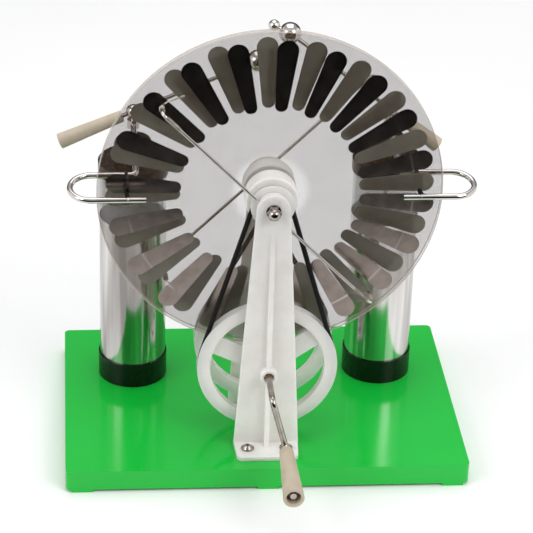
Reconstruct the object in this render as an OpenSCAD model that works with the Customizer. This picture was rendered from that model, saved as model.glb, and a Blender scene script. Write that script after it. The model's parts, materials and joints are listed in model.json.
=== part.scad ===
// Hand-cranked influence machine with two counter-rotating discs.
// Origin: centre of the base, on the surface it stands on. X right, Y to the rear, Z up.
// The crank is at the front, and every size is in millimetres.

/* [Base] */
// Width of the base
base_w = 323; // [310:1:380]
// Depth of the base
base_d = 222; // [210:1:260]
// Height of the tray above its pads
base_h = 17; // [12:1:30]
// Wall and top thickness of the tray
base_wall = 3; // [2:0.1:4]
// Radius of the tray's upright corners
corner_r = 4.5; // [4:0.5:15]
// Height of the pads under the tray
pad_h = 2.4; // [0.5:0.1:3]

/* [Discs] */
// Radius of each disc
disc_r = 135; // [132:1:138]
// Thickness of each disc
disc_t = 2.2; // [1.5:0.1:3]
// Gap between the discs
disc_gap = 2.3; // [1.5:0.1:4]
// How far the gap's middle plane lies in front of the base's centre
disc_front = 43.4; // [42:0.1:46]
// Height of the axle above the top of the base
axle_rise = 213; // [205:1:220]
// Diameter of the fixed axle
axle_d = 5; // [4:0.1:6]
// Foil sectors on each disc
sector_count = 20; // [12:2:22]
// Radius from the axle at which a sector starts
sector_from = 69.8; // [66:0.1:75]
// Radius from the axle at which a sector ends
sector_to = 128.6; // [120:0.1:130]
// Width of a sector's inner end
sector_inner_w = 10; // [6:0.1:12]
// Width of a sector's outer end
sector_outer_w = 16.5; // [12:0.1:20]
// Thickness of the foil
foil_t = 0.3; // [0.2:0.05:0.5]
// Angle of the front disc's first sector, seen from the front
front_phase = 85.3; // [0:0.1:90]
// Angle of the rear disc's first sector, seen from the front
rear_phase = 92.5; // [0:0.1:110]

/* [Hubs and belts] */
// Radius of a hub's body
hub_r = 20.5; // [18:0.1:24]
// Radius of the spigot that centres a disc
spigot_r = 9; // [7:0.1:12]
// Pitch radius of the hub's pulley
pulley_r = 13.5; // [12:0.1:15]
// Radius of the pulley's outer flange
flange_r = 17.3; // [16.5:0.1:19]
// Distance of a belt's plane from the middle of the disc gap
belt_plane = 21.4; // [20:0.1:23]
// Diameter of the round belts
belt_d = 4; // [3:0.1:4.2]
// Gap that the belts keep from the grooves
belt_clear = 0.3; // [0.25:0.05:0.5]
// Length of a hub from the middle of the disc gap to its outer end
hub_end = 26.5; // [26:0.1:28]

/* [Drive] */
// Height of the crank shaft above the top of the base
shaft_rise = 69; // [66:1:75]
// Diameter of the crank rod
rod_d = 5; // [4:0.1:6]
// Outer radius of a drive wheel
wheel_r = 56; // [54:0.1:60]
// Depth of the belt's centre line below the rim
pitch_depth = 2; // [1.5:0.1:3]
// Inner radius of a wheel's rim
rim_inner_r = 45.7; // [40:0.1:47]
// Width of a wheel's rim
rim_w = 8; // [7:0.1:9]
// Width of a spoke
spoke_w = 16; // [10:0.5:20]
// Thickness of a spoke
spoke_t = 3; // [2:0.1:5]
// Throw of the crank
crank_r = 45; // [38:1:60]
// Angle of the crank arm from straight down, towards the right
crank_turn = 15; // [0:1:30]
// Distance of the crank arm in front of the discs' middle plane
arm_plane = 76.6; // [70:0.1:90]
// Length of the crank's handle
grip_len = 63; // [50:1:80]

/* [Posts] */
// Thickness of a post's plate
plate_t = 4; // [3:0.1:6]
// Width of a post at its foot
post_foot_w = 52; // [44:1:60]
// Width of a post above its shoulder
post_mid_w = 40; // [32:1:44]
// Height of the shoulder above the base
post_mid_rise = 105; // [90:1:120]
// Radius of a post's round head
post_head_r = 13; // [10:0.5:16]
// Depth of a post's foot
foot_d = 26; // [20:1:30]
// Thickness of a post's foot
foot_t = 4; // [3:0.1:6]
// Depth of the stiffening rib at its foot
rib_d = 8; // [5:0.5:12]
// Thickness of the rib
rib_t = 3.6; // [2.5:0.1:5]

/* [Neutralisers] */
// Angle of a neutraliser from the horizontal
neutraliser_turn = 45; // [35:1:55]
// Radius from the axle at which the brush stands
neutraliser_r = 117; // [100:1:122]
// Diameter of a neutraliser's rod
neutraliser_d = 2.5; // [2:0.1:3]
// Radius of the collar that holds the rod
collar_r = 12.5; // [10:0.1:15]

/* [Jars] */
// Distance of a jar from the middle
jar_x = 104; // [100:1:112]
// Distance of a jar behind the base's centre
jar_y = 43; // [40:1:60]
// Radius of the clear tube
tube_r = 27.2; // [24:0.1:28]
// Wall of the clear tube
tube_t = 2; // [1.5:0.1:3]
// Wall of the cup and the lid
cup_t = 1.1; // [0.8:0.1:2]
// Height of the cup
cup_h = 21; // [15:1:30]
// Height of the jar to the top of its lid
jar_h = 201; // [190:1:206]
// Height of the lid
lid_h = 12; // [10:0.5:16]
// Height of the foil above the base
foil_h = 150; // [120:1:160]
// Radius of the cap nut on the lid
nut_r = 16; // [12:0.5:20]
// Height of the cap nut
nut_h = 18; // [14:0.5:19]

/* [Collectors and electrodes] */
// Diameter of a collector's rod
fork_d = 4.8; // [3:0.1:5]
// Distance of a collector's arms from the middle of the disc gap
fork_reach = 16.1; // [15:0.1:20]
// Tilt of a collector about the left-right axis
fork_tilt = 9.6; // [8:0.1:12]
// Outermost reach of the left and right collector
fork_out = [158, 162]; // [150:1:170]
// Inner ends of the left and right collector's front arm
fork_in = [97, 102.3]; // [90:1:112]
// Places of the points on the left and right collector
points_at = [111.7, 116.1]; // [100:1:130]
// Diameter of an electrode's rod
electrode_d = 3.5; // [3:0.1:4]
// Tilt of the left and right electrode
electrode_tilt = [23.7, 38.7]; // [15:0.1:40]
// Distance of the big ball from the terminal, left and right
ball_at = [108.5, 107.3]; // [100:0.1:114]
// Diameter of the big ball
big_ball_d = 18; // [12:0.5:20]
// Diameter of the small ball
small_ball_d = 9.3; // [6:0.1:10]
// Reach of the handle's end beyond the terminal, left and right
handle_at = [64.5, 51]; // [50:0.5:75]
// Length of the left and right electrode's handle
handle_len = [54.5, 37.5]; // [30:0.5:60]
// Radius of a handle's outer end
handle_outer_r = 6.4; // [5:0.1:8]
// Radius of a handle's end at the terminal
handle_inner_r = 4.75; // [4:0.05:6]
// Turn of the small ball's neck from the rod
neck_turn = 11; // [0:1:20]
// Height of a terminal's head above the base
head_rise = 242.4; // [240:0.1:250]

/* [Hidden] */
$fn = 96;

// Clearances: a running fit, a push fit and the gap kept by curved faces
running = 0.05;
push = 0.05;
air = 0.3;
// Depth by which a cutting shape passes the face that it opens
over = 1;

// Heights above the standing surface
deck = pad_h + base_h;
axle_z = deck + axle_rise;
shaft_z = deck + shaft_rise;

// Distances from the middle of the disc gap, outwards
disc_in = disc_gap / 2;
disc_out = disc_in + disc_t;
collar_from = hub_end + air;
collar_t = 4;
plate_in = collar_from + collar_t;
plate_out = plate_in + plate_t;
bush_r = axle_d / 2 + 2;

// Belt grooves, shared by the hubs and the wheels
belt_r = belt_d / 2;
groove_flare = 1.4;
groove_half = belt_r + groove_flare;
pulley_floor = pulley_r - belt_r - belt_clear;
wheel_pitch_r = wheel_r - pitch_depth;
wheel_floor = wheel_pitch_r - belt_r - belt_clear;

// Jar heights and radii
cup_floor = 2;
outer_foil_r = tube_r + push + foil_t;
cup_in_r = outer_foil_r + push;
cup_r = cup_in_r + cup_t;
lid_top = deck + jar_h;
lid_from = lid_top - lid_h;
lid_t = 3;
nut_top = lid_top + nut_h;
head_z = deck + head_rise;
stud_r = 2.5;
head_r = 6;
// The clamp is slim and low enough for the tilted rods to swing above it
clamp_r = 5;
clamp_h = 7.2;
clamp_z = head_z - 10.3;
// End of the stud inside the jar
stud_from = lid_top - lid_t - 6;
inner_foil_r = tube_r - tube_t - push;

// Colours
acrylic = [0.9, 0.92, 0.92, 0.35];
nylon = [0.93, 0.93, 0.91];
steel = [0.75, 0.75, 0.76];
foil_dark = [0.2, 0.19, 0.18];
black = [0.06, 0.06, 0.06];
green = [0.16, 0.74, 0.3];
cream = [0.85, 0.81, 0.7];
brass = [0.78, 0.62, 0.3];

// ---- Shared forms ----

// A tube along Z between two heights
module sleeve(outer_r, bore_r, from, to) {
    difference() {
        translate([0, 0, from]) cylinder(r = outer_r, h = to - from);
        translate([0, 0, from - over]) cylinder(r = bore_r, h = to - from + 2 * over);
    }
}

// Children stand with the disc gap at y = 0 and the front towards -Y; the rear is the mirror image
module at_discs(side) {
    translate([0, -disc_front, 0])
        mirror([0, side == "rear" ? 1 : 0, 0])
            children();
}

// Children are built along +Z, which points outwards from the disc gap at the given height
module outwards(side, z) {
    at_discs(side)
        translate([0, 0, z])
            rotate([90, 0, 0])
                children();
}

// Children are built for the left half, and mirrored for the right half
module on_side(side) {
    mirror([side == "right" ? 1 : 0, 0, 0])
        children();
}

// Children stand on a jar's own axis
module on_jar(side) {
    on_side(side)
        translate([-jar_x, jar_y, 0])
            children();
}

function side_index(side) = side == "right" ? 1 : 0;

// A quarter bend that starts at the origin along +Z and leaves along +X
module quarter_bend(bend_r, rod_r) {
    translate([bend_r, 0, 0])
        rotate([90, 0, 180])
            rotate_extrude(angle = 90)
                translate([bend_r, 0])
                    circle(r = rod_r);
}

// Points of an arc about [centre_x, 0]
function arc(centre_x, r, from, to, steps) = [
    for (i = [0 : steps])
        let (a = from + (to - from) * i / steps)
            [centre_x + r * cos(a), r * sin(a)]
];

// ---- Base ----

module rounded_plate(w, d, r, h) {
    linear_extrude(height = h)
        union() {
            square([w - 2 * r, d], center = true);
            square([w, d - 2 * r], center = true);
            for (x = [-1, 1], y = [-1, 1])
                translate([x * (w / 2 - r), y * (d / 2 - r)])
                    circle(r = r);
        }
}

// Screw places of the posts, counted outwards from the disc gap
foot_screw_x = 15.5;
foot_screw_out = plate_out + 9;
foot_screw_r = 1.75;
jar_screw_r = 2;
boss_r = 5;
rib_wall = 2;
pad_r = 7;
middle_pad_w = 17;
corner_pad_w = 17;
edge_pad_d = 8;

// A pad under the front (side -1) or rear (side 1) wall, centred at x
module edge_pad(x, side, w) {
    translate([x - w / 2, side * (base_d / 2 - edge_pad_d / 2) - edge_pad_d / 2, 0])
        cube([w, edge_pad_d, pad_h + base_wall]);
}

module screw_places() {
    for (side = ["front", "rear"], x = [-foot_screw_x, foot_screw_x])
        at_discs(side)
            translate([x, -foot_screw_out, 0])
                children();
}

module jar_places() {
    for (side = ["left", "right"])
        on_jar(side)
            children();
}

module base() {
    inner_h = base_h - base_wall;
    color(green)
        difference() {
            union() {
                difference() {
                    translate([0, 0, pad_h])
                        rounded_plate(base_w, base_d, corner_r, base_h);
                    translate([0, 0, pad_h - over])
                        rounded_plate(base_w - 2 * base_wall, base_d - 2 * base_wall,
                                      corner_r - base_wall, inner_h + over);
                }
                // Ribs across and along the hollow underside
                for (x = [-base_w / 4, 0, base_w / 4])
                    translate([x - rib_wall / 2, -base_d / 2 + base_wall / 2, pad_h])
                        cube([rib_wall, base_d - base_wall, inner_h + base_wall / 2]);
                translate([-base_w / 2 + base_wall / 2, -rib_wall / 2, pad_h])
                    cube([base_w - base_wall, rib_wall, inner_h + base_wall / 2]);
                screw_places() translate([0, 0, pad_h]) cylinder(r = boss_r, h = base_h - over);
                jar_places() translate([0, 0, pad_h]) cylinder(r = boss_r, h = base_h - over);
                // Pads flush with the long walls, and a round one where the ribs cross
                for (y = [-1, 1]) {
                    edge_pad(0, y, middle_pad_w);
                    for (x = [-1, 1]) edge_pad(x * (base_w / 2 - corner_r - corner_pad_w / 2), y, corner_pad_w);
                }
                cylinder(r = pad_r, h = deck - base_wall / 2);
            }
            screw_places() translate([0, 0, pad_h - over])
                cylinder(r = foot_screw_r + push, h = base_h + 2 * over);
            jar_places() translate([0, 0, pad_h - over])
                cylinder(r = jar_screw_r + push, h = base_h + 2 * over);
        }
}

// ---- Posts ----

shaft_bush_r = rod_d / 2 + 1.75;
boss_out = 8;
// Depth of the bush's end inside the boss
bush_recess = 4;

// Outline of a post's plate, seen from the front, with the axle at the origin
module post_outline() {
    foot_y = foot_t - axle_rise;
    mid_y = post_mid_rise - axle_rise;
    polygon([
        [-post_foot_w / 2, foot_y], [post_foot_w / 2, foot_y],
        [post_mid_w / 2, mid_y], [post_head_r, 0],
        [-post_head_r, 0], [-post_mid_w / 2, mid_y]
    ]);
}

module upright(side) {
    foot_corner = 3;
    foot_taper = 1.5;
    foot_end = post_foot_w / 2 - foot_taper;
    shaft_y = shaft_rise - axle_rise;
    color(nylon)
        outwards(side, axle_z)
            difference() {
                union() {
                    translate([0, 0, plate_in]) linear_extrude(height = plate_t) post_outline();
                    translate([0, 0, plate_in]) cylinder(r = post_head_r, h = plate_t);
                    // Foot with chamfered outer corners
                    translate([0, -axle_rise + foot_t, plate_in])
                        rotate([90, 0, 0])
                            linear_extrude(height = foot_t)
                                polygon([
                                    [-post_foot_w / 2, 0], [post_foot_w / 2, 0],
                                    [foot_end, foot_d - foot_corner], [foot_end - foot_corner, foot_d],
                                    [foot_corner - foot_end, foot_d], [-foot_end, foot_d - foot_corner]
                                ]);
                    // Rib that deepens from the head to the foot
                    translate([-rib_t / 2, 0, 0])
                        rotate([90, 0, 90])
                            linear_extrude(height = rib_t)
                                polygon([
                                    [-post_head_r, plate_in + plate_t / 2], [-post_head_r, plate_out],
                                    [foot_t / 2 - axle_rise, plate_out + rib_d],
                                    [foot_t / 2 - axle_rise, plate_in + plate_t / 2]
                                ]);
                    // Bearing boss of the crank shaft
                    translate([0, shaft_y, plate_in]) cylinder(r = shaft_bush_r + 2.5, h = plate_t + boss_out);
                }
                translate([0, 0, plate_in - over]) cylinder(r = axle_d / 2 + push, h = plate_t + 2 * over);
                translate([0, shaft_y, plate_in - over])
                    cylinder(r = shaft_bush_r + push, h = plate_t + boss_out + 2 * over);
                for (x = [-foot_screw_x, foot_screw_x])
                    translate([x, foot_t - axle_rise + over, foot_screw_out])
                        rotate([90, 0, 0])
                            cylinder(r = foot_screw_r + push, h = foot_t + 2 * over);
            }
}

screw_head_r = 4;
screw_head_h = 2.4;
screw_washer_r = 5.3;
screw_washer_t = 0.6;

module upright_screws() {
    color(steel)
        screw_places() {
            translate([0, 0, deck + foot_t]) cylinder(r = screw_washer_r, h = screw_washer_t);
            translate([0, 0, deck + foot_t + screw_washer_t])
                cylinder(r1 = screw_head_r, r2 = screw_head_r * 0.6, h = screw_head_h);
            translate([0, 0, pad_h + 2]) cylinder(r = foot_screw_r, h = deck + foot_t - pad_h - 2);
        }
}

module jar_screws() {
    color(steel)
        jar_places() {
            translate([0, 0, pad_h + 1]) cylinder(r = jar_screw_r, h = deck + cup_floor - pad_h - 1);
            translate([0, 0, deck + cup_floor]) cylinder(r = screw_head_r, h = screw_head_h);
        }
}

// ---- Axle and discs ----

axle_tip = 7;
washer_t = 1;

module disc_axle() {
    color(steel)
        outwards("front", axle_z)
            translate([0, 0, -plate_out - axle_tip])
                cylinder(d = axle_d, h = 2 * (plate_out + axle_tip));
}

// Two washers and domed nuts
module axle_nuts() {
    nut_flat_h = 4;
    nut_corner_r = 5.8;
    dome_r = 5.2;
    color(steel)
        for (side = ["front", "rear"])
            outwards(side, axle_z)
                difference() {
                    union() {
                        translate([0, 0, plate_out]) cylinder(r = nut_corner_r, h = washer_t);
                        translate([0, 0, plate_out + washer_t]) cylinder(r = nut_corner_r, h = nut_flat_h, $fn = 6);
                        translate([0, 0, plate_out + washer_t + nut_flat_h]) sphere(r = dome_r);
                    }
                    translate([0, 0, plate_in]) cylinder(r = axle_d / 2 + push, h = plate_t + axle_tip + push);
                }
}

module disc_spacer() {
    color(brass)
        outwards("front", axle_z)
            sleeve(bush_r, axle_d / 2 + push, -disc_in, disc_in);
}

module disc(side) {
    color(acrylic)
        outwards(side, axle_z)
            sleeve(disc_r, spigot_r + push, disc_in, disc_out);
}

// Outline of one sector along +X: two round ends and the straight sides between them
module sector_outline() {
    inner_r = sector_inner_w / 2;
    outer_r = sector_outer_w / 2;
    inner_x = sector_from + inner_r;
    outer_x = sector_to - outer_r;
    lean = asin((outer_r - inner_r) / (outer_x - inner_x));
    polygon(concat(
        arc(outer_x, outer_r, -90 - lean, 90 + lean, 14),
        arc(inner_x, inner_r, 90 + lean, 270 - lean, 10)
    ));
}

module sectors(side, phase) {
    color(foil_dark)
        outwards(side, axle_z)
            for (i = [0 : sector_count - 1])
                rotate([0, 0, phase + i * 360 / sector_count])
                    translate([0, 0, disc_out])
                        linear_extrude(height = foil_t)
                            sector_outline();
}

// Hub with the belt pulley turned on its outer end
module hub(side) {
    edge = 1;
    color(nylon)
        outwards(side, axle_z)
            rotate_extrude()
                polygon([
                    [bush_r + push, disc_in], [spigot_r, disc_in],
                    [spigot_r, disc_out], [hub_r, disc_out],
                    [hub_r, belt_plane - groove_half - edge], [hub_r - edge, belt_plane - groove_half],
                    [pulley_floor, belt_plane - belt_r], [pulley_floor, belt_plane + belt_r],
                    [flange_r, belt_plane + groove_half], [flange_r, hub_end],
                    [bush_r + push, hub_end]
                ]);
}

module hub_bush(side) {
    color(brass)
        outwards(side, axle_z)
            sleeve(bush_r, axle_d / 2 + running, disc_in, hub_end);
}

// ---- Drive ----

bend_r = 6;
shaft_tail = 6;
wheel_hub_r = 10;
wheel_hub_half = 6;
wheel_screw_r = 1.5;
wheel_turn = 5;

// One steel rod: the shaft, the crank arm and the handle's pin
module crank_shaft() {
    rod_r = rod_d / 2;
    color(steel)
        outwards("front", shaft_z)
            rotate([0, 0, crank_turn - 90])
                union() {
                    translate([0, 0, -plate_out - boss_out - shaft_tail])
                        cylinder(r = rod_r, h = plate_out + boss_out + shaft_tail + arm_plane - bend_r);
                    translate([0, 0, arm_plane - bend_r]) quarter_bend(bend_r, rod_r);
                    translate([bend_r, 0, arm_plane])
                        rotate([0, 90, 0]) cylinder(r = rod_r, h = crank_r - 2 * bend_r);
                    translate([crank_r - bend_r, 0, arm_plane])
                        mirror([1, 0, -1]) quarter_bend(bend_r, rod_r);
                    translate([crank_r, 0, arm_plane + bend_r])
                        cylinder(r = rod_r, h = grip_len - 2);
                }
}

// Children stand on the handle's pin, with z = 0 at the handle's inner end
module on_pin() {
    outwards("front", shaft_z)
        rotate([0, 0, crank_turn - 90])
            translate([crank_r, 0, arm_plane + bend_r + air])
                children();
}

grip_inner_r = 5.6;
grip_outer_r = 8.25;
mouth_r = 5.8;
mouth_depth = 9;

module crank_grip() {
    color(cream)
        on_pin()
            rotate_extrude()
                polygon([
                    [rod_d / 2 + running, 0], [grip_inner_r, 0],
                    [grip_outer_r, grip_len], [mouth_r, grip_len],
                    [mouth_r, grip_len - mouth_depth], [rod_d / 2 + running, grip_len - mouth_depth]
                ]);
}

// Push-on washer that keeps the handle on its pin
module grip_retainer() {
    color(steel)
        on_pin()
            sleeve(rod_d / 2 + 1.4, rod_d / 2 + push, grip_len - mouth_depth + 0.2, grip_len - mouth_depth + 1.4);
}

module drive_wheel(side) {
    color(nylon)
        outwards(side, shaft_z)
            translate([0, 0, belt_plane])
                difference() {
                    union() {
                        rotate_extrude()
                            polygon([
                                [rim_inner_r, -rim_w / 2], [wheel_r, -rim_w / 2],
                                [wheel_r, -groove_half], [wheel_floor, -belt_r],
                                [wheel_floor, belt_r], [wheel_r, groove_half],
                                [wheel_r, rim_w / 2], [rim_inner_r, rim_w / 2]
                            ]);
                        translate([0, 0, -wheel_hub_half]) cylinder(r = wheel_hub_r, h = 2 * wheel_hub_half);
                        for (a = [30, 150, 270])
                            rotate([0, 0, a + wheel_turn])
                                translate([0, -spoke_w / 2, -spoke_t / 2])
                                    cube([rim_inner_r + 2, spoke_w, spoke_t]);
                    }
                    translate([0, 0, -wheel_hub_half - over])
                        cylinder(r = rod_d / 2 + push, h = 2 * (wheel_hub_half + over));
                    translate([0, 0, wheel_hub_half - 2])
                        rotate([-90, 0, 0])
                            cylinder(r = wheel_screw_r + push, h = wheel_hub_r + over);
                }
}

module wheel_screws() {
    color(steel)
        for (side = ["front", "rear"])
            outwards(side, shaft_z)
                translate([0, rod_d / 2 + push, belt_plane + wheel_hub_half - 2])
                    rotate([-90, 0, 0])
                        cylinder(r = wheel_screw_r, h = wheel_hub_r - rod_d / 2 - 1);
}

module shaft_bushes() {
    color(brass)
        for (side = ["front", "rear"])
            outwards(side, shaft_z)
                sleeve(shaft_bush_r, rod_d / 2 + running, plate_in, plate_out + boss_out - bush_recess);
}

module shaft_collars() {
    color(steel)
        for (side = ["front", "rear"])
            outwards(side, shaft_z)
                sleeve(shaft_bush_r, rod_d / 2 + push, belt_plane + wheel_hub_half, plate_in - 0.1);
}

// ---- Belts ----

belt_sides = 10;

// Rises from 0 to 1, slowly at first so that a strand stays in its groove, and flat at the end
function offset_step(t) = t * t * t * (4 - 3 * t);

// Points around a pulley: angle, radius and centre height give x and z, and y is the belt's shift
function belt_arc(z, r, from, to, steps) = [
    for (i = [0 : steps])
        let (a = from + (to - from) * i / steps)
            [r * cos(a), 0, z + r * sin(a)]
];

// Points between two ends, shifted along Y most at the crossing
function belt_strand(p, q, crossing, shift, steps) = [
    for (i = [1 : steps - 1])
        let (
            t = i / steps,
            near = t < crossing ? t / crossing : (1 - t) / (1 - crossing)
        )
            [p[0] + (q[0] - p[0]) * t, shift * offset_step(near), p[2] + (q[2] - p[2]) * t]
];

function unit(v) = v / norm(v);

// A closed round tube through points, with its first ring side towards Y
module closed_tube(points, r, sides) {
    n = len(points);
    rings = [
        for (i = [0 : n - 1])
            let (
                along = unit(points[(i + 1) % n] - points[(i + n - 1) % n]),
                across = unit(cross(along, [0, 1, 0])),
                up = cross(across, along)
            )
                for (k = [0 : sides - 1])
                    let (a = 360 * k / sides)
                        points[i] + r * (cos(a) * across + sin(a) * up)
    ];
    faces = [
        for (i = [0 : n - 1], k = [0 : sides - 1])
            let (
                a = i * sides + k,
                b = i * sides + (k + 1) % sides,
                c = ((i + 1) % n) * sides + (k + 1) % sides,
                d = ((i + 1) % n) * sides + k
            )
                each [[a, b, c], [a, c, d]]
    ];
    polyhedron(points = rings, faces = faces, convexity = 6);
}

module front_belt() {
    lean = asin((wheel_pitch_r - pulley_r) / (axle_z - shaft_z));
    path = concat(
        belt_arc(shaft_z, wheel_pitch_r, lean, -180 - lean, 26),
        belt_arc(axle_z, pulley_r, 180 - lean, lean, 12)
    );
    color(black)
        translate([0, -disc_front - belt_plane, 0])
            closed_tube(path, belt_r, belt_sides);
}

module rear_belt() {
    lean = asin((wheel_pitch_r + pulley_r) / (axle_z - shaft_z));
    crossing = wheel_pitch_r / (wheel_pitch_r + pulley_r);
    shift = belt_r + 0.2;
    wheel_arc = belt_arc(shaft_z, wheel_pitch_r, lean, -180 - lean, 28);
    pulley_arc = belt_arc(axle_z, pulley_r, -lean, 180 + lean, 16);
    rise = belt_strand(wheel_arc[28], pulley_arc[0], crossing, shift, 15);
    fall = belt_strand(pulley_arc[16], wheel_arc[0], 1 - crossing, -shift, 15);
    color(black)
        translate([0, -disc_front + belt_plane, 0])
            closed_tube(concat(wheel_arc, rise, pulley_arc, fall), belt_r, belt_sides);
}

// ---- Neutralisers ----

neutraliser_rod_r = neutraliser_d / 2;
neutraliser_plane = collar_from + collar_t / 2;
// The rod passes beside the axle
rod_offset = axle_d / 2 + neutraliser_rod_r + 0.25;
neutraliser_bend = 4;
brush_len = 6;
brush_tip = disc_out + foil_t + air;
brush_from = brush_tip + brush_len;

// Children lie along +X through the collar; the front rod falls to the right, the rear one to the left
module along_neutraliser(side) {
    outwards(side, axle_z)
        rotate([0, 0, side == "front" ? -neutraliser_turn : neutraliser_turn])
            translate([0, side == "front" ? -rod_offset : rod_offset, 0])
                children();
}

module neutraliser_collar(side) {
    color(nylon)
        difference() {
            outwards(side, axle_z) sleeve(collar_r, axle_d / 2 + running, collar_from, plate_in);
            along_neutraliser(side)
                translate([-collar_r - over, 0, neutraliser_plane])
                    rotate([0, 90, 0])
                        cylinder(r = neutraliser_rod_r + push, h = 2 * (collar_r + over));
        }
}

module neutraliser_rod(side) {
    straight = neutraliser_r - neutraliser_bend;
    color(steel)
        along_neutraliser(side)
            union() {
                translate([-straight, 0, neutraliser_plane])
                    rotate([0, 90, 0]) cylinder(r = neutraliser_rod_r, h = 2 * straight);
                for (end = [0, 1])
                    mirror([end, 0, 0]) {
                        translate([neutraliser_r, 0, neutraliser_plane - neutraliser_bend])
                            mirror([1, 0, 0]) quarter_bend(neutraliser_bend, neutraliser_rod_r);
                        translate([neutraliser_r, 0, brush_from])
                            cylinder(r = neutraliser_rod_r,
                                     h = neutraliser_plane - neutraliser_bend - brush_from);
                    }
            }
}

module brushes(side) {
    color(brass)
        along_neutraliser(side)
            for (end = [-1, 1])
                translate([end * neutraliser_r, 0, brush_tip])
                    cylinder(r1 = 2.6, r2 = 1.3, h = brush_len);
}

// ---- Jars ----

module jar_cup(side) {
    color(black)
        on_jar(side)
            difference() {
                translate([0, 0, deck]) cylinder(r = cup_r, h = cup_h);
                translate([0, 0, deck + cup_floor]) cylinder(r = cup_in_r, h = cup_h);
                translate([0, 0, deck - over]) cylinder(r = jar_screw_r + push, h = cup_floor + 2 * over);
            }
}

module jar_tube(side) {
    color(acrylic)
        on_jar(side)
            sleeve(tube_r, tube_r - tube_t, deck + cup_floor, lid_top - lid_t);
}

module outer_foil(side) {
    color(steel)
        on_jar(side)
            sleeve(outer_foil_r, tube_r + push, deck + cup_floor, deck + foil_h);
}

module inner_foil(side) {
    color(steel)
        on_jar(side)
            sleeve(inner_foil_r, inner_foil_r - foil_t, deck + cup_floor, deck + foil_h);
}

module jar_lid(side) {
    edge = 1.5;
    color(black)
        on_jar(side)
            rotate_extrude()
                polygon([
                    [stud_r + push, lid_top - lid_t], [tube_r + push, lid_top - lid_t],
                    [tube_r + push, lid_from], [cup_r, lid_from],
                    [cup_r, lid_top - edge], [cup_r - edge, lid_top], [stud_r + push, lid_top]
                ]);
}

// Domed nut that clamps the stud to the lid
module cap_nut(side) {
    crown_r = 12;
    color(black)
        on_jar(side)
            rotate_extrude()
                polygon([
                    [stud_r + push, lid_top], [nut_r, lid_top],
                    for (a = [0 : 15 : 75])
                        [crown_r + (nut_r - crown_r) * cos(a), nut_top - nut_h / 2 + nut_h / 2 * sin(a)],
                    [crown_r * 0.8, nut_top], [stud_r + push, nut_top]
                ]);
}

// Depth below a head's centre that the tilted rod needs free above the stud
function stud_drop(side) =
    let (tilt = electrode_tilt[side_index(side)])
        stud_r * tan(tilt) + (electrode_d / 2 + push) / cos(tilt) + air;

// Stud through the lid, the clamp for the collector and the post for the head
module terminal(side) {
    color(steel)
        on_jar(side)
            difference() {
                union() {
                    translate([0, 0, stud_from]) cylinder(r = stud_r, h = head_z - stud_drop(side) - stud_from);
                    translate([0, 0, clamp_z - clamp_h / 2]) cylinder(r = clamp_r, h = clamp_h);
                }
                translate([0, 0, clamp_z])
                    rotate([fork_tilt - 90, 0, 0])
                        cylinder(d = fork_d + 2 * push, h = 2 * (clamp_r + over), center = true);
            }
}

// Rod that carries the charge down to the inner foil
module contact_rod(side) {
    contact_z = deck + cup_floor + 20;
    arm_len = 2 * (inner_foil_r - foil_t - air);
    color(steel)
        on_jar(side)
            union() {
                translate([0, 0, contact_z]) cylinder(r = 1.5, h = stud_from - contact_z);
                translate([-arm_len / 2, -2, contact_z - 1]) cube([arm_len, 4, 2]);
            }
}

// ---- Collectors ----

fork_r = fork_reach / cos(fork_tilt);
fork_corner = 5;
// Distance of the disc gap from the clamp along the fork's tilted plane
fork_gap_y = (jar_y + disc_front) / cos(fork_tilt);

// Height of the fork's rod at a distance in front of the clamp
function fork_height(ahead) = clamp_z - ahead * tan(fork_tilt);

// Children lie in the fork's own tilted plane, with the clamp's centre at y = 0
module in_fork_plane(side) {
    on_side(side)
        translate([0, jar_y, clamp_z])
            rotate([fork_tilt, 0, 0])
                children();
}

// One arm and its half of the round bend, about the bend's centre
module fork_half(arm_len) {
    translate([0, fork_r, 0])
        rotate([0, 90, 0]) cylinder(d = fork_d, h = arm_len);
    rotate([0, 0, 90])
        rotate_extrude(angle = 90) translate([fork_r, 0]) circle(d = fork_d);
}

// One bent rod: an arm before the discs, a round bend past their rim, an arm behind and the run to the clamp
module collector(side) {
    i = side_index(side);
    bend_x = -(fork_out[i] - fork_r - fork_d / 2);
    corner_y = -fork_gap_y + fork_r + fork_corner;
    color(steel)
        in_fork_plane(side)
            union() {
                translate([bend_x, -fork_gap_y, 0]) {
                    mirror([0, 1, 0]) fork_half(-fork_in[i] - bend_x);
                    fork_half(-jar_x - fork_corner - bend_x);
                }
                translate([-jar_x - fork_corner, corner_y, 0])
                    rotate([0, 0, -90])
                        rotate_extrude(angle = 90) translate([fork_corner, 0]) circle(d = fork_d);
                translate([-jar_x, corner_y, 0])
                    rotate([-90, 0, 0]) cylinder(d = fork_d, h = clamp_r - corner_y);
            }
}

// Fine points on each arm that face the disc
point_pitch = 1.1;

module collector_points(side) {
    i = side_index(side);
    tip = disc_out + foil_t + 1;
    span = fork_reach - fork_d / 2 - tip;
    color(black)
        on_side(side)
            for (arm = [-1, 1], k = [-2 : 2])
                translate([
                    k * point_pitch - points_at[i],
                    -disc_front + arm * (tip + span / 2),
                    fork_height(jar_y + disc_front - arm * fork_reach)
                ])
                    rotate([arm * -90, 0, 0])
                        cylinder(r1 = 0.3, r2 = 0.5, h = span, center = true);
}

// ---- Discharge electrodes ----

// Children lie along the electrode, inner end towards +X, with the head at the origin
module along_electrode(side) {
    on_jar(side)
        translate([0, 0, head_z])
            rotate([0, -electrode_tilt[side_index(side)], 0])
                children();
}

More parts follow.
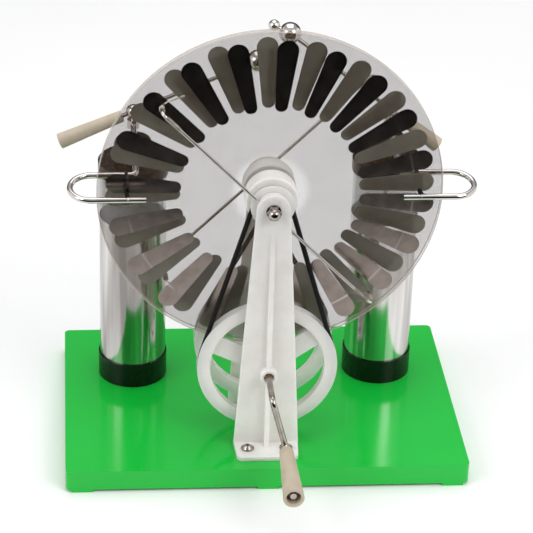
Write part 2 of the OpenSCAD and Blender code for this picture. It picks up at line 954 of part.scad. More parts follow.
module terminal_head(side) {
    color(steel)
        difference() {
            on_jar(side) translate([0, 0, head_z]) sphere(r = head_r);
            on_jar(side) translate([0, 0, head_z - head_r - over])
                cylinder(r = stud_r + running, h = head_r + over - stud_drop(side));
            along_electrode(side)
                translate([-head_r - over, 0, 0])
                    rotate([0, 90, 0]) cylinder(d = electrode_d + 2 * push, h = 2 * (head_r + over));
        }
}

// Solid end of a handle beyond its rod
handle_cap = 6;

module electrode(side) {
    i = side_index(side);
    rod_from = -handle_at[i] + handle_cap;
    neck_len = big_ball_d / 2 + small_ball_d / 2 + 1;
    color(steel)
        along_electrode(side)
            union() {
                translate([rod_from, 0, 0])
                    rotate([0, 90, 0]) cylinder(d = electrode_d, h = ball_at[i] - rod_from);
                translate([ball_at[i], 0, 0]) sphere(d = big_ball_d);
                translate([ball_at[i], 0, 0])
                    rotate([0, neck_turn, 0]) {
                        rotate([0, 90, 0]) cylinder(d = electrode_d * 0.8, h = neck_len);
                        translate([neck_len, 0, 0]) sphere(d = small_ball_d);
                    }
            }
}

module electrode_handle(side) {
    i = side_index(side);
    color(cream)
        along_electrode(side)
            translate([-handle_at[i], 0, 0])
                rotate([0, 90, 0])
                    difference() {
                        cylinder(r1 = handle_outer_r, r2 = handle_inner_r, h = handle_len[i]);
                        translate([0, 0, handle_cap - push])
                            cylinder(d = electrode_d + 2 * push, h = handle_len[i]);
                    }
}

base();
upright("front");  // front_upright
upright("rear");  // rear_upright
upright_screws();
jar_screws();
disc_axle();
axle_nuts();
disc_spacer();
disc("front");  // front_disc
sectors("front", front_phase);  // front_sectors
hub("front");  // front_hub
hub_bush("front");  // front_hub_bush
disc("rear");  // rear_disc
sectors("rear", rear_phase);  // rear_sectors
hub("rear");  // rear_hub
hub_bush("rear");  // rear_hub_bush
crank_shaft();
drive_wheel("front");  // front_drive_wheel
drive_wheel("rear");  // rear_drive_wheel
wheel_screws();
shaft_bushes();
shaft_collars();
crank_grip();
grip_retainer();
front_belt();
rear_belt();
neutraliser_collar("front");  // front_neutraliser_collar
neutraliser_rod("front");  // front_neutraliser_rod
brushes("front");  // front_brushes
neutraliser_collar("rear");  // rear_neutraliser_collar
neutraliser_rod("rear");  // rear_neutraliser_rod
brushes("rear");  // rear_brushes
for (side = ["left", "right"]) {
    jar_cup(side);
    jar_tube(side);
    outer_foil(side);
    inner_foil(side);
    jar_lid(side);
    cap_nut(side);
    terminal(side);
    contact_rod(side);
    collector(side);
    collector_points(side);
    terminal_head(side);
    electrode(side);
    electrode_handle(side);
}
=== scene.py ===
# %% [markdown]
# # A hand-cranked influence machine
# The machine is a classroom model: a green tray, two milky posts, two clear discs that turn
# against each other, two foil-covered jars and bright bent rods. Its solids come ready made from
# the CAD model, each in its place, so this lesson is about what the eye adds: light, the finish
# of each material, and the small parts that are too fine or too soft for the solids.

import json
from math import cos, pi, radians, sin, tau

import bpy
from mathutils import Matrix, Vector


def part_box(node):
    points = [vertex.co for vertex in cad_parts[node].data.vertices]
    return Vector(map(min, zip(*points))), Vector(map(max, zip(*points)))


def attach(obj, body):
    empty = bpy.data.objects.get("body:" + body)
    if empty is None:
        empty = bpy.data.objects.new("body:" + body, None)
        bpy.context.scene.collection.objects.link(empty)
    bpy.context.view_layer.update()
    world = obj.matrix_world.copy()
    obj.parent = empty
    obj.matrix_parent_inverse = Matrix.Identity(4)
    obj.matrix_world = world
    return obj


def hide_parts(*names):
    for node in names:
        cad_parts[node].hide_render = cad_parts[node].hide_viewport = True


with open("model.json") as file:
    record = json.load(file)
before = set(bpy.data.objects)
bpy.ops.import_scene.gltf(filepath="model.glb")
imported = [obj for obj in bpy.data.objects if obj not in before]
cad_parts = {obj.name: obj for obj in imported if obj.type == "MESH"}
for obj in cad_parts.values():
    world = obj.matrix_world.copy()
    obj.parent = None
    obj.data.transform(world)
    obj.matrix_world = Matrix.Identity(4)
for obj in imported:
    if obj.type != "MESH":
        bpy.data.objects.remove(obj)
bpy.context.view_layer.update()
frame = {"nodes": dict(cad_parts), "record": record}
NODES = frame["nodes"]
MM = 0.001

# %% [markdown]
# ## The camera
# A photograph is matched by its view point first, because no finish looks right from the wrong
# place. The view point, the turn and the lens were found by fitting a pinhole camera to the
# corners of the tray, the outline of the discs and the rims of the jars. The picture was cropped
# off centre after it was taken, and the shift of the lens stands for that.

# %% Camera
PICTURE = 533
FOCAL_PX = 2236.85
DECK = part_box("base")[1].z
VIEW_POINT = Vector((-0.1532, -1.5899, DECK + 0.9971))
YAW, PITCH, ROLL = 0.0704779, 0.4778032, -0.0213703
SHIFT = (0.1, -0.1)


def camera_axes(yaw, pitch, roll):
    """Returns the camera's right, up and backward directions."""
    forward = Vector((sin(yaw) * cos(pitch), cos(yaw) * cos(pitch), -sin(pitch)))
    level = Vector((cos(yaw), -sin(yaw), 0))
    down = forward.cross(level)
    right = level * cos(roll) + down * sin(roll)
    below = down * cos(roll) - level * sin(roll)
    return right, -below, -forward


lens = bpy.data.cameras.new("camera")
lens.sensor_width = 36
lens.lens = FOCAL_PX / PICTURE * lens.sensor_width
lens.shift_x, lens.shift_y = SHIFT
lens.clip_end = 20
camera = bpy.data.objects.new("camera", lens)
turned = Matrix(camera_axes(YAW, PITCH, ROLL)).transposed().to_4x4()
camera.matrix_world = Matrix.Translation(VIEW_POINT) @ turned
bpy.context.scene.collection.objects.link(camera)
bpy.context.scene.camera = camera
print("lens in mm:", round(lens.lens, 1))

# %% [markdown]
# ## Small helpers
# Colours are written as the hex values that a paint program shows. Blender calculates in linear
# light, so one function turns them. Another adds a shader node with its settings and its links,
# which keeps each material a short list of what it is made of.


# %% Helpers for materials
def linear(colour):
    """Turns an sRGB hex colour into linear red, green, blue and alpha."""
    parts = [int(colour[i : i + 2], 16) / 255 for i in (1, 3, 5)]
    low = [p / 12.92 if p <= 0.04045 else ((p + 0.055) / 1.055) ** 2.4 for p in parts]
    return (*low, 1.0)


def add(tree, kind, sockets=None, **settings):
    """Adds a node, sets its settings, and fills its sockets with values or with links."""
    made = tree.nodes.new(kind)
    for name, value in settings.items():
        setattr(made, name, value)
    fill(tree, made, sockets or {})
    return made


def fill(tree, made, sockets):
    """Gives each named socket its value, or a link where the value is another node's output."""
    for name, value in sockets.items():
        if isinstance(value, bpy.types.NodeSocket):
            tree.links.new(value, made.inputs[name])
        else:
            made.inputs[name].default_value = value


def start(name, **sockets):
    """Makes a material and returns it with its node tree, its shader and its own coordinates."""
    made = bpy.data.materials.new(name)
    made.use_nodes = True
    tree = made.node_tree
    shader = tree.nodes["Principled BSDF"]
    fill(tree, shader, {key.replace("_", " "): value for key, value in sockets.items()})
    place = tree.nodes.new("ShaderNodeTexCoord").outputs["Object"]
    return made, tree, shader, place


def ramp(tree, fac, *stops):
    """Adds a colour ramp with stops of a position and a hex colour, and returns its colour."""
    made = add(tree, "ShaderNodeValToRGB", {"Fac": fac})
    row = made.color_ramp.elements
    for _ in stops[2:]:
        row.new(0.5)
    for element, (position, colour) in zip(row, stops):
        element.position = position
        element.color = linear(colour)
    return made.outputs["Color"]


def spread(tree, fac, low, high):
    """Turns a value from 0 to 1 into one from low to high."""
    sockets = {"Value": fac, "To Min": low, "To Max": high}
    return add(tree, "ShaderNodeMapRange", sockets).outputs["Result"]


def mix(tree, fac, first, second):
    """Mixes two colours, each given as a value or as a link."""
    made = tree.nodes.new("ShaderNodeMixRGB")
    fill(tree, made, {"Fac": fac, "Color1": first, "Color2": second})
    return made.outputs["Color"]


def grain(tree, place, size_mm, detail):
    """Noise whose lumps are about size_mm across."""
    sockets = {"Vector": place, "Scale": 1 / (size_mm * MM), "Detail": detail}
    return add(tree, "ShaderNodeTexNoise", sockets).outputs["Fac"]


def bump(tree, shader, height, depth_mm, strength):
    """Lets the light see a height that the mesh doesn't have."""
    sockets = {"Height": height, "Distance": depth_mm * MM, "Strength": strength}
    made = add(tree, "ShaderNodeBump", sockets)
    tree.links.new(made.outputs["Normal"], shader.inputs["Normal"])


print("helpers ready")

# %% [markdown]
# ## The moulded green tray
# The tray is ABS, injection moulded in a polished tool: a strong even green with a wide soft
# shine. Seen close, its skin has a fine orange peel, and handling has left it a little duller in
# places. Paint-like colour would do from afar, but a slow drift of tone and roughness over a hand's
# width and a fine bump make it plastic. ABS has an IOR of about 1.53.

# %% Green ABS
green, tree, shader, place = start("abs_moulded_green", IOR=1.53, Specular_IOR_Level=0.4)
drift = grain(tree, place, 90, 0)
peel = grain(tree, place, 2.5, 4)
colour = ramp(tree, drift, (0.0, "#0CB836"), (1.0, "#1AC444"))
fill(tree, shader, {"Base Color": colour, "Roughness": spread(tree, drift, 0.1, 0.18)})
bump(tree, shader, peel, 0.02, 0.2)
print(green.name)

# %% [markdown]
# ## Milky nylon
# Posts, wheels, hubs and collars are unpigmented nylon. It is milky because light goes in and is
# scattered, so shadows in it are soft and its thin edges glow. Subsurface scattering of a few
# millimetres gives that. The moulded skin is satin, with faint flow marks.

# %% Milky nylon
nylon, tree, shader, place = start("nylon_milky_white", IOR=1.53)
flow = grain(tree, place, 14, 3)
skin = grain(tree, place, 0.9, 2)
colour = ramp(tree, flow, (0.3, "#EAE6E1"), (0.7, "#F1EEE9"))
fill(tree, shader, {"Base Color": colour, "Roughness": spread(tree, flow, 0.34, 0.5)})
fill(tree, shader, {"Subsurface Weight": 0.7, "Subsurface Radius": (1.0, 0.98, 0.92)})
fill(tree, shader, {"Subsurface Scale": 7 * MM})
bump(tree, shader, skin, 0.03, 0.3)
print(nylon.name)

# %% [markdown]
# ## Clear acrylic
# Acrylic is a clear sheet with an IOR of 1.49. Dust and a warm tint take some of the light, so
# white behind two sheets turns a pale grey. Two ways to show it are real refraction and a
# see-through surface. A flat sheet hardly bends light, and refraction would throw a black shadow,
# so a see-through surface is used. The eye crosses four faces of the two discs, and each takes
# its share, so one face takes little. Near the hub, where hands wipe it, the disc is cleaner.
# Fine hairline scratches circle the axle. A pale ring painted at the edge is a painted highlight
# for the light that the sawn rim catches.


# %% Clear acrylic
def clear_sheet(name, tint, haze):
    """A see-through acrylic; haze is how much of it the eye sees."""
    made, tree, shader, place = start(name, Roughness=0.08, IOR=1.49)
    dust = grain(tree, place, 22, 5)
    seen = spread(tree, dust, haze * 0.9, haze * 1.1)
    fill(tree, shader, {"Base Color": linear(tint), "Alpha": seen})
    return made, tree, shader, place, seen


def from_axle(tree, place):
    """Distance from the discs' axle, which runs along Y, in metres."""
    flattened = {"Vector": place, "Location": (-AXLE.x, 0, -AXLE.z), "Scale": (1, 0, 1)}
    flat = add(tree, "ShaderNodeMapping", flattened).outputs["Vector"]
    return add(tree, "ShaderNodeVectorMath", {0: flat}, operation="LENGTH").outputs["Value"]


def band(tree, value, low, high, soft):
    """1 where a value is between low and high, fading over soft on both sides, and 0 elsewhere."""
    up = {"Value": value, "From Min": low - soft, "From Max": low}
    down = {"Value": value, "From Min": high, "From Max": high + soft, "To Min": 1.0, "To Max": 0.0}
    ends = [add(tree, "ShaderNodeMapRange", each).outputs["Result"] for each in (up, down)]
    both = {0: ends[0], 1: ends[1]}
    return add(tree, "ShaderNodeMath", both, operation="MULTIPLY").outputs[0]


acrylic_tube = clear_sheet("acrylic_clear_tube", "#DADDDD", 0.25)[0]
print(acrylic_tube.name)

# %% Acrylic of the discs
# The second colour is a painted highlight for the light on the sawn rim
DISC_TINT, RIM_HIGHLIGHT = "#5E4838", "#CFC4B8"
WIPED_FROM, WIPED_TO = 24 * MM, 34 * MM
RIM_W = 0.35 * MM
RING_GAP = 7 * MM
low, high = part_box("front_disc")
AXLE = Vector((0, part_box("disc_spacer")[0].y, (low.z + high.z) / 2))
DISC_R = (high.x - low.x) / 2
acrylic_disc, tree, shader, place, seen = clear_sheet("acrylic_clear_disc", DISC_TINT, 0.15)
radius = from_axle(tree, place)
wiped = {"Value": radius, "From Min": WIPED_FROM, "From Max": WIPED_TO, "To Min": 0.6}
dusty = add(tree, "ShaderNodeMapRange", wiped, interpolation_type="SMOOTHSTEP").outputs["Result"]
veil = add(tree, "ShaderNodeMath", {0: seen, 1: dusty}, operation="MULTIPLY").outputs[0]
centred = add(tree, "ShaderNodeMapping", {"Vector": place, "Location": -AXLE}).outputs["Vector"]
lines = {"Vector": centred, "Scale": 1 / RING_GAP, "Distortion": 0.4, "Detail": 4.0}
rings = add(tree, "ShaderNodeTexWave", lines, wave_type="RINGS", rings_direction="Y").outputs["Fac"]
fine = add(tree, "ShaderNodeMath", {0: rings, 1: 8.0}, operation="POWER").outputs[0]
scratched = {0: fine, 1: 0.015, 2: veil}
hairlines = add(tree, "ShaderNodeMath", scratched, operation="MULTIPLY_ADD").outputs[0]
# Painted highlight: a pale, denser ring at the edge stands for the light caught by the sawn rim
rim = band(tree, radius, DISC_R - RIM_W, DISC_R + MM, 0.15 * MM)
edge = {0: rim, 1: 0.4, 2: hairlines}
alpha = add(tree, "ShaderNodeMath", edge, operation="MULTIPLY_ADD").outputs[0]
colour = mix(tree, rim, linear(DISC_TINT), linear(RIM_HIGHLIGHT))
fill(tree, shader, {"Alpha": alpha, "Base Color": colour})
print(acrylic_disc.name, "disc radius in mm:", round(DISC_R / MM, 1))

# %% [markdown]
# ## Foil
# The jars wear kitchen-bright aluminium foil that was rolled on by hand. It mirrors the room in
# long upright streaks, and fine wrinkles break the streaks up. The sectors on the discs are a
# thicker and darker foil. The front ones are smooth and mirror what lies before the machine: the
# lower ones the white floor, and the upper ones the dark room beyond it. The rear ones show the
# dull back of their foil. A metal's colour is its mirror colour, and its IOR is left alone.


# %% Foil
def foil(name, dark, light, rough, wrinkle_mm, depth_mm, upright=1.0, metallic=1.0):
    """Metal foil with wrinkles of a size and depth, stretched upright by a factor."""
    made, tree, shader, place = start(name, Metallic=metallic)
    tall = add(tree, "ShaderNodeMapping", {"Vector": place, "Scale": (1, 1, 1 / upright)})
    wrinkles = grain(tree, tall.outputs["Vector"], wrinkle_mm, 4)
    tone = grain(tree, tall.outputs["Vector"], wrinkle_mm * 3, 2)
    colour = ramp(tree, tone, (0.3, dark), (0.7, light))
    fill(tree, shader, {"Base Color": colour, "Roughness": spread(tree, tone, *rough)})
    bump(tree, shader, wrinkles, depth_mm, 0.6)
    return made


jar_foil = foil("foil_aluminium_bright", "#8E8A87", "#E6E3E0", (0.08, 0.16), 4, 0.22, 16)
rear_foil = foil("foil_sector_grey", "#A6AA9C", "#BABEB0", (0.5, 0.62), 3, 0.04, 1.0, 0.3)
front_foil = foil("foil_sector_bright", "#7A706A", "#91867F", (0.17, 0.25), 4, 0.03)
print(jar_foil.name, front_foil.name, rear_foil.name)

# %% [markdown]
# ## The brushes' track
# The brushes of the front neutraliser have worn a pale ring across the front sectors. It could be
# a mesh, but it has no thickness, so it is a band of paler colour at about the brushes' distance
# from the axle. Noise breaks it up, because a brush doesn't press evenly.

# %% Worn track
TRACK_FROM, TRACK_TO = 111.5 * MM, 112.7 * MM
tree = front_foil.node_tree
shader = tree.nodes["Principled BSDF"]
unworn = shader.inputs["Base Color"].links[0].from_socket
place = tree.nodes["Texture Coordinate"].outputs["Object"]
patchy = spread(tree, grain(tree, place, 30, 1), -0.5, 1.1)
track = band(tree, from_axle(tree, place), TRACK_FROM, TRACK_TO, 0.6 * MM)
worn = add(tree, "ShaderNodeMath", {0: track, 1: patchy}, operation="MULTIPLY", use_clamp=True)
fill(tree, shader, {"Base Color": mix(tree, worn.outputs[0], unworn, linear("#D8CFCA"))})
print("track at mm:", round(TRACK_FROM / MM, 1), "to", round(TRACK_TO / MM, 1))

# %% [markdown]
# ## Bright metal
# The collectors, electrodes and neutralisers are chrome-plated steel rod, the shaft and screws
# are nickel plated, and the bearing bushes are turned brass. Plating follows the drawn metal below
# it, so it is very slightly uneven, and finger marks make its tone and its shine vary in patches.


# %% Plated and plain metal
def metal(name, dark, light, rough, mark_mm):
    """A polished metal whose tone and roughness vary over marks of a size."""
    made, tree, shader, place = start(name, Metallic=1.0)
    marks = grain(tree, place, mark_mm, 4)
    colour = ramp(tree, marks, (0.35, dark), (0.65, light))
    fill(tree, shader, {"Base Color": colour, "Roughness": spread(tree, marks, *rough)})
    bump(tree, shader, grain(tree, place, mark_mm / 12, 2), 0.01, 0.2)
    return made


chrome = metal("chrome_plated_rod", "#C6BFBB", "#D6D0CC", (0.04, 0.08), 12)
nickel = metal("nickel_plated_steel", "#9A908A", "#B3AAA4", (0.1, 0.2), 8)
brass = metal("brass_turned", "#B4924A", "#D0B06A", (0.2, 0.32), 5)
print(chrome.name, nickel.name, brass.name)


# %% [markdown]
# ## Plastics and rubber of the small parts
# The jar ends are polished black polystyrene, the handles are a satin cream plastic, and the
# belts are black rubber cord. Each has a moulded skin with fine lumps, and a tone and shine that
# vary a little. Rubber hardly shines, so less is mirrored there than its IOR alone would give.


# %% Black, cream and rubber
def plastic(name, dark, light, rough, lump_mm, depth_mm, **sockets):
    """A solid-coloured plastic or rubber with uneven tone, uneven shine and a fine skin."""
    made, tree, shader, place = start(name, **sockets)
    lumps = grain(tree, place, lump_mm, 4)
    colour = ramp(tree, lumps, (0.3, dark), (0.7, light))
    fill(tree, shader, {"Base Color": colour, "Roughness": spread(tree, lumps, *rough)})
    bump(tree, shader, grain(tree, place, lump_mm / 8, 3), depth_mm, 0.4)
    return made


black_plastic = plastic("polystyrene_gloss_black", "#060606", "#0C0C0C", (0.2, 0.34), 10, 0.02,
                        IOR=1.45)
cream = plastic("cream_moulded_handle", "#B9AB96", "#C8BBA6", (0.42, 0.55), 12, 0.04, IOR=1.5)
rubber = plastic("rubber_black_belt", "#030303", "#080808", (0.5, 0.65), 3, 0.05, IOR=1.52,
                 Specular_IOR_Level=0.2)
print(black_plastic.name, cream.name, rubber.name)

# %% [markdown]
# ## Which solid gets which finish
# The CAD solids keep their meshes. Each one's material slots get the finish of the real part,
# chosen by the slot that the record names. The discs are clearer than the jars' tubes, and the
# front sectors show the bright side of their foil, so these have a finish of their own.

# %% Dress the solids
FINISH = {
    "green_plastic": green,
    "white_nylon": nylon,
    "plated_steel": nickel,
    "brass": brass,
    "clear_acrylic": acrylic_tube,
    "foil": rear_foil,
    "bright_foil": jar_foil,
    "cream_plastic": cream,
    "black_rubber": rubber,
    "black_plastic": black_plastic,
    "chrome": chrome,
}
SPECIAL = {
    "front_disc": acrylic_disc,
    "rear_disc": acrylic_disc,
    "front_sectors": front_foil,
}


def dress(thing, finish):
    """Puts one finish in every material slot of an object."""
    if not thing.data.materials:
        thing.data.materials.append(finish)
    for i in range(len(thing.data.materials)):
        thing.data.materials[i] = finish


for row in frame["record"]["subparts"]:
    name = row["node"]
    dress(NODES[name], SPECIAL.get(name, FINISH[row["material_slot"]]))

# %% [markdown]
# ## Wires bent to shape
# Brushes, windings and tufts are all wire or thread. A wire could be a row of extruded rings, but a
# curve with a round section is quicker to bend and never kinks. It becomes a mesh at the end, so
# that it leaves Blender as every other piece does.


# %% A wire through points
def deselect():
    """Leaves nothing selected, because an operator acts on all that is."""
    bpy.ops.object.select_all(action="DESELECT")


def select(*pieces):
    """Selects these pieces and nothing else, and makes the first one active."""
    deselect()
    for piece in pieces:
        piece.select_set(True)
    bpy.context.view_layer.objects.active = pieces[0]


def wire(name, paths, thick_mm, finish, body, slot, *stands_for):
    """Round wires through lists of points, as one mesh that rides on a body."""
    drawn = bpy.data.curves.new(name, "CURVE")
    drawn.dimensions = "3D"
    drawn.bevel_depth = thick_mm * MM / 2
    drawn.bevel_resolution = 2
    drawn.use_fill_caps = True
    for path in paths:
        spline = drawn.splines.new("POLY")
        spline.points.add(len(path) - 1)
        for point, spot in zip(spline.points, path):
            point.co = (*spot, 1)
        spline.use_smooth = True
    piece = bpy.data.objects.new(name, drawn)
    bpy.context.scene.collection.objects.link(piece)
    select(piece)
    bpy.ops.object.convert(target="MESH")
    return fit(bpy.context.object, finish, body, slot, *stands_for)


def fit(piece, finish, body, slot, *stands_for):
    """Gives a piece its finish and its body, and hides the nodes that it stands for; slot is not
    used.
    """
    dress(piece, finish)
    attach(piece, body)
    if stands_for:
        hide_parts(*stands_for)
    return piece


POINTS_A_TURN = 12
WOBBLE_RATE = 7.3


def helix(origin, along, side, radius_mm, pitch_mm, turns, phase=0.0, wobble=0.0):
    """Points of a screw line about an axis from an origin, with a radius that may wobble."""
    along, side = along.normalized(), side.normalized()
    across = along.cross(side)
    points = []
    for i in range(int(turns * POINTS_A_TURN) + 1):
        turn = i / POINTS_A_TURN
        angle = tau * turn + phase
        radius = radius_mm * MM * (1 + wobble * sin(WOBBLE_RATE * turn + phase))
        away = side * cos(angle) + across * sin(angle)
        points.append(origin + along * turn * pitch_mm * MM + away * radius)
    return points


print("wire helpers ready")

# %% [markdown]
# ## Neutraliser brushes
# Each neutraliser ends in a brush of fine tinned wire that trails on the sectors as they pass. A
# thicker wire is wound round the end of the rod to hold it. The brush leaves the rod's bent end
# and lies slanting on the disc, because a wire that stood upright on the foil would dig into it.
# The solids have a plain stand-in there, which these wires replace. Of a winding, the radius, the
# pitch and the number of turns are all that has to be known.

# %% Brushes and windings
NEUTRALISER_R = 117 * MM
ROD_R = 1.25 * MM
ROD_OFFSET = 4.0 * MM
STRANDS, STRAND_MM = 5, 0.3
FAN = 0.25 * MM
TRAIL, INWARD, CLEARANCE = 14.5 * MM, 9.5 * MM, 0.35 * MM
WINDING_MM, WINDING_BACK = 0.95, 19 * MM
# Radius and pitch in millimetres, and turns
ROD_WINDING = (1.8, 1.9, 8)
LEG_WINDING = (1.75, 1.8, 4.6)
tinned = metal("tinned_copper_wire", "#857B72", "#C6BDB3", (0.15, 0.28), 3)


def brush(foot, touch, out, toward):
    """Strands that fan out from the rod's end and lie slanting on the sectors."""
    strands = []
    for k in range(STRANDS):
        fan = out * (k - STRANDS // 2) * FAN
        root = foot - toward * (2 + 0.3 * k) * MM + fan * 0.5
        knee = foot.lerp(touch, 0.25) - toward * 0.2 * MM + fan
        tip = touch + fan * 1.5 + toward.cross(out) * (k % 3) * 0.8 * MM
        middle = knee.lerp(tip, 0.5) - toward * 0.6 * MM
        strands.append([root, knee, middle, tip])
    return strands


for side, way in (("front", 1), ("rear", -1)):
    # Which corner of a box lies away from the gap between the discs, and which near it
    away, near = (0, 1) if way > 0 else (1, 0)
    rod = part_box(f"{side}_neutraliser_rod")
    foil_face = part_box(f"{side}_sectors")[away].y
    toward = Vector((0, way, 0))
    strands, windings = [], []
    for end in (-1, 1):
        # The rod falls to the right in front, and to the left behind
        out = Vector((way * end, 0, -end)).normalized()
        shift = Vector((-way, 0, -1)).normalized() * ROD_OFFSET
        foot = Vector((AXLE.x, rod[near].y, AXLE.z)) + out * NEUTRALISER_R + shift
        touch = foot + toward.cross(out) * TRAIL - out * INWARD
        touch.y = foil_face - way * CLEARANCE
        strands += brush(foot, touch, out, toward)
        level = Vector((AXLE.x, rod[away].y + way * ROD_R, AXLE.z)) + shift
        begin = level + out * (NEUTRALISER_R - WINDING_BACK)
        windings.append(helix(begin, out, toward, *ROD_WINDING))
        leg_top = level + out * NEUTRALISER_R + toward * 5 * MM
        windings.append(helix(leg_top, toward, out, *LEG_WINDING, wobble=0.15))
    body = f"{side}_neutraliser"
    wire(f"{side}_brush_wires", strands, STRAND_MM, tinned, body, "brass", f"{side}_brushes")
    wire(f"{side}_brush_windings", windings, WINDING_MM, tinned, body, "brass")
print("strands in each brush:", STRANDS)

# %% [markdown]
# ## Collector tufts
# A collector picks the charge off the discs without touching them, through points. On this machine
# they are short tufts of black twisted thread with a metal core, tied to both arms of the fork so
# that they point at the discs. Three threads with a slightly uneven twist look tied by hand, and
# a few turns of the same thread round the arm make the knot.

# %% Tufts on the forks
THREADS, THREAD_MM = 3, 1.3
TUFT = (1.25, 3.4, 2.8)
KNOT = (3.1, 1.1, 2.6)
SIDEWAYS = Vector((1, 0, 0))
for side in ("left", "right"):
    node = f"{side}_collector_points"
    low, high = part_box(node)
    threads = []
    # The front arm lies lower than the rear one, because the fork is tilted
    for arm, end in ((1, low), (-1, high)):
        foot = Vector(((low.x + high.x) / 2, end.y - arm * MM, end.z))
        root = foot + Vector((0, 0, arm * 0.4 * MM))
        for k in range(THREADS):
            inward = Vector((0, arm, 0.03))
            threads.append(helix(root, inward, SIDEWAYS, *TUFT, tau * k / THREADS, 0.3))
        edge_of_knot = foot - SIDEWAYS * 1.2 * MM
        threads.append(helix(edge_of_knot, SIDEWAYS, Vector((0, arm, 0)), *KNOT, wobble=0.08))
    wire(f"{side}_tufts", threads, THREAD_MM, rubber, "frame", "black_rubber", node)
print("threads on each fork:", len(threads))

# %% [markdown]
# ## Cross recesses in the screws
# The posts' screws have a cross recess, whose shade is the dark mark by which the eye knows a screw.
# Cutting it would change a CAD solid, so a thin dark cross lies in the crown of each head: painted
# shade for the recess. It is one flat bar with bevelled edges and a copy turned across it, and the
# pair is copied to all four heads, each turned a little differently, as hand-driven screws are.

# %% Screw crosses of painted shade
def join(name, pieces):
    """Joins mesh objects into one."""
    select(*pieces)
    bpy.ops.object.join()
    joined = bpy.context.object
    joined.name = name
    return joined


def copy_to(piece, matrix):
    """A copy of a piece with its own mesh, moved or turned in the mesh itself."""
    made = piece.copy()
    made.data = piece.data.copy()
    made.data.transform(matrix)
    bpy.context.scene.collection.objects.link(made)
    return made


BAR_LEN, BAR_W, BAR_T = 3.6 * MM, 0.8 * MM, 0.3 * MM
WASHER_R = 5.3 * MM
low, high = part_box("upright_screws")
deselect()
bpy.ops.mesh.primitive_cube_add(size=1)
bar = bpy.context.object
bar.data.transform(Matrix.Diagonal((BAR_LEN, BAR_W, BAR_T, 1)))
bpy.ops.object.mode_set(mode="EDIT")
bpy.ops.mesh.select_all(action="SELECT")
bpy.ops.mesh.bevel(offset=0.12 * MM, segments=2)
bpy.ops.object.mode_set(mode="OBJECT")
cross = join("cross", [bar, copy_to(bar, Matrix.Rotation(pi / 2, 4, "Z"))])
recess_shades = []
for x in (low.x + WASHER_R, high.x - WASHER_R):
    for y in (low.y + WASHER_R, high.y - WASHER_R):
        turn = Matrix.Rotation(radians(25 + 1000 * x), 4, "Z")
        recess_shades.append(copy_to(cross, Matrix.Translation((x, y, high.z)) @ turn))
bpy.data.objects.remove(cross)
# The crosses are painted shade: dark solids in the black finish where the recess is only shaded
fit(join("screw_recess_shades", recess_shades), black_plastic, "frame", "plated_steel")
print("screw crosses:", len(recess_shades))

# %% [markdown]
# ## Beads and open ends of the collectors
# Each collector is bent from thin tube, so its front end is open, with a bead rolled in a little
# behind it. The bead could be a torus, but a rolled bead is flatter than that. A short sleeve gets
# a wall and rounded edges instead. The open end is a dark dish with an inset rim, painted shade for
# the inside of the bore, because nobody sees further into a bore of four millimetres, and the solid
# behind it stays whole.

# %% Bead and the bore's painted shade, each modelled once
TUBE_R = 2.4 * MM
BEAD_W, BEAD_PROUD = 1.0 * MM, 0.35 * MM
BORE_R, BORE_PROUD = 1.8 * MM, 0.15 * MM


def finished(piece, kind, **settings):
    """Adds a modifier with its settings to a piece and applies it."""
    made = piece.modifiers.new(kind, kind)
    for name, value in settings.items():
        setattr(made, name, value)
    select(piece)
    bpy.ops.object.modifier_apply(modifier=made.name)


deselect()
bpy.ops.mesh.primitive_cylinder_add(vertices=32, radius=TUBE_R + BEAD_PROUD, depth=BEAD_W,
                                    end_fill_type="NOTHING")
sleeve = bpy.context.object
finished(sleeve, "SOLIDIFY", thickness=2 * BEAD_PROUD, offset=-1)
finished(sleeve, "BEVEL", width=0.25 * MM, segments=3)
deselect()
# The dish is painted shade: a dark disc in the black finish where the open bore is only shaded
bpy.ops.mesh.primitive_cylinder_add(vertices=32, radius=BORE_R, depth=2 * BORE_PROUD)
dish = bpy.context.object
bpy.ops.object.mode_set(mode="EDIT")
bpy.ops.mesh.select_mode(type="FACE")
bpy.ops.mesh.select_all(action="DESELECT")
bpy.ops.object.mode_set(mode="OBJECT")
for face in dish.data.polygons:
    face.select = face.normal.z > 0.9
bpy.ops.object.mode_set(mode="EDIT")
bpy.ops.mesh.inset(thickness=0.3 * MM, depth=-0.12 * MM)
bpy.ops.object.mode_set(mode="OBJECT")
print("faces of bead and bore:", len(sleeve.data.polygons), len(dish.data.polygons))

# %% Copies on both collectors
BEAD_FROM_END = 14 * MM
# How far from the middle each collector's front arm ends, as in the solids
ARM_END = {"left": -97 * MM, "right": 102.3 * MM}
beads, bore_shades = [], []
for side, end in ARM_END.items():
    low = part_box(f"{side}_collector")[0]
    outward = 1 if end > 0 else -1
    mouth = Vector((end, low.y + TUBE_R, low.z + TUBE_R))
    behind = mouth + Vector((outward * BEAD_FROM_END, 0, 0))
    inward = Matrix.Rotation(-outward * pi / 2, 4, "Y")
    beads.append(copy_to(sleeve, Matrix.Translation(behind) @ inward))
    bore_shades.append(copy_to(dish, Matrix.Translation(mouth) @ inward))
for model in (sleeve, dish):
    bpy.data.objects.remove(model)
fit(join("collector_beads", beads), chrome, "frame", "chrome")
# The dark dishes are the bores' painted shade
fit(join("collector_bore_shades", bore_shades), black_plastic, "frame", "chrome")
print("beads:", len(beads), "bores:", len(bore_shades))

# %% [markdown]
# ## Floor and light
# The picture was taken on a white sweep with large soft lamps, so the ground is almost white and
# shadows are faint. Bright metal needs something dark to mirror, or it looks like plaster. The
# floor therefore ends a little way before the machine, and what the metal mirrors there is a dim
# room with a light ceiling and a white screen on either side. The camera itself sees the white
# sweep go on for ever, so every side of the machine stands before the same pale ground. The key
# lamp stands to the right and in front, where the tray's front is brightest.

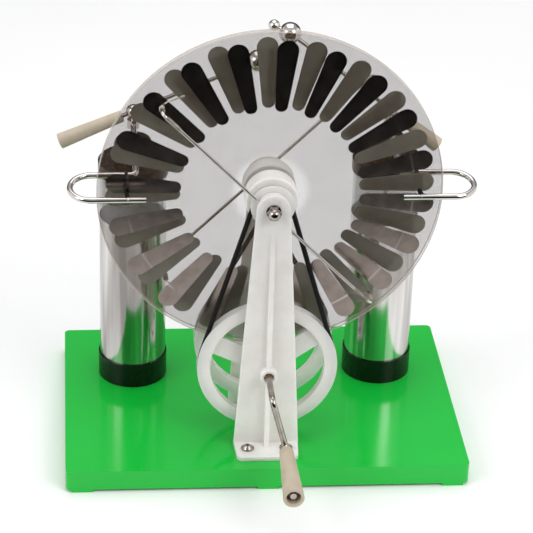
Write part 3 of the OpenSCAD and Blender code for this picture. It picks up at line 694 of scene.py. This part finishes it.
# %% Floor
FLOOR_W, FLOOR_FRONT, FLOOR_BACK = 8.0, -0.42, 4.8
deselect()
bpy.ops.mesh.primitive_grid_add(x_subdivisions=1, y_subdivisions=1, size=1)
floor = bpy.context.object
middle = Matrix.Translation((0, (FLOOR_FRONT + FLOOR_BACK) / 2, 0))
floor.data.transform(middle @ Matrix.Diagonal((FLOOR_W, FLOOR_BACK - FLOOR_FRONT, 1, 1)))
floor.name = "floor"
paper, tree, shader, place = start("paper_white_sweep", Roughness=0.9)
tone = grain(tree, place, 400, 2)
fill(tree, shader, {"Base Color": ramp(tree, tone, (0.3, "#F6F6F5"), (0.7, "#FAFAFA"))})
dress(floor, paper)
print("floor in metres:", FLOOR_W, "by", FLOOR_BACK - FLOOR_FRONT)

# %% Room
world = bpy.data.worlds.new("studio")
bpy.context.scene.world = world
world.use_nodes = True
tree = world.node_tree
# The direction's parts run from -1 to 1, and Z is made to run from 0, below, to 1, above
direction = tree.nodes.new("ShaderNodeTexCoord").outputs["Generated"]
parts = add(tree, "ShaderNodeSeparateXYZ", {"Vector": direction}).outputs
rise = add(tree, "ShaderNodeMapRange", {"Value": parts["Z"], "From Min": -1.0}).outputs["Result"]
aside = add(tree, "ShaderNodeMath", {0: parts["X"]}, operation="ABSOLUTE").outputs[0]
screens = {"Value": aside, "From Min": 0.74, "From Max": 0.86}
beside = add(tree, "ShaderNodeMapRange", screens, interpolation_type="SMOOTHSTEP").outputs["Result"]
sky = ramp(tree, rise, (0.5, "#0E0E10"), (0.66, "#1C1C1E"), (0.78, "#A8A8AA"), (1.0, "#D0D0D2"))
room = mix(tree, beside, sky, linear("#FFFFFF"))
direct = tree.nodes.new("ShaderNodeLightPath").outputs["Is Camera Ray"]
around = mix(tree, direct, room, linear("#F2F2F2"))
fill(tree, tree.nodes["Background"], {"Color": around, "Strength": 1.2})
print(world.name)


# %% Lamps
MIDDLE = Vector((0, 0, 0.15))


def lamp(name, spot, size, power):
    """A square lamp of a size in metres and a power in watts, aimed at the machine's middle."""
    light = bpy.data.lights.new(name, "AREA")
    light.size, light.energy = size, power
    made = bpy.data.objects.new(name, light)
    made.location = spot
    aim = MIDDLE - Vector(spot)
    made.rotation_euler = aim.to_track_quat("-Z", "Y").to_euler()
    bpy.context.scene.collection.objects.link(made)


lamp("key_lamp", (1.2, -1.3, 1.5), 1.1, 18)
lamp("fill_lamp", (-1.5, -1.0, 1.3), 1.1, 12)
lamp("top_lamp", (0, 0.6, 2.2), 1.8, 17)
bpy.context.scene.view_settings.view_transform = "Standard"
print("lamps: 3")

# %% [markdown]
# ## The end

# %% The end
print("end of scene")
